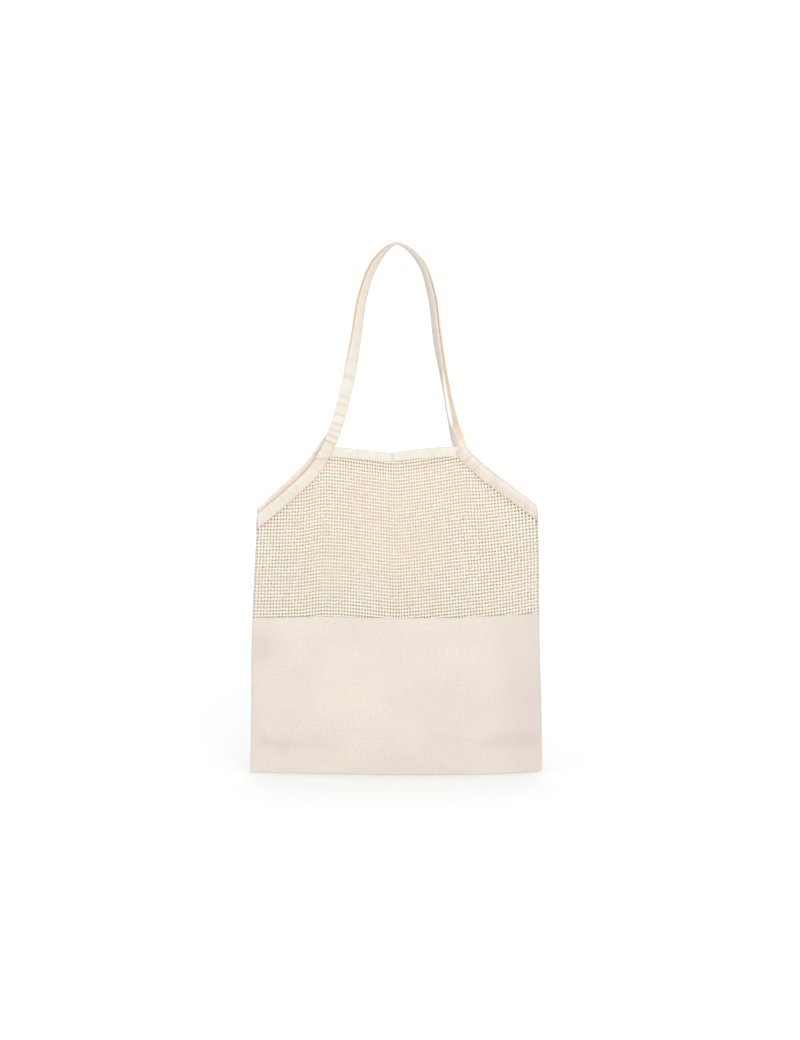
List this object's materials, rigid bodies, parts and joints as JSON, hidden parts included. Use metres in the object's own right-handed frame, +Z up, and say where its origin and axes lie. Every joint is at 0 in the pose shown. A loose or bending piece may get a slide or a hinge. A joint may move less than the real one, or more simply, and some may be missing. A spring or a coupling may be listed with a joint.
{
  "type": "produce bag",
  "caption": "Flat cotton shopper for loose produce: plain cloth lower half, open net upper half, taped edges and long shoulder handles, hanging empty.",
  "frame": {"origin": "underside of the inner handle at its top, where the bag hangs on a hook", "axes": "+X to the right seen from the front, +Y from front to back, +Z up"},
  "size_m": [0.38, 0.0347, 0.6963],
  "materials": {
    "cloth": "plain-woven undyed cotton",
    "net": "open cotton net",
    "tape": "folded cotton tape"
  },
  "bodies": {
    "root": {"lower_body": "cloth", "net_front": "net", "net_back": "net", "top_band_front": "tape", "top_band_back": "tape", "strap_front": "tape", "strap_back": "tape"}
  },
  "joints": []
}
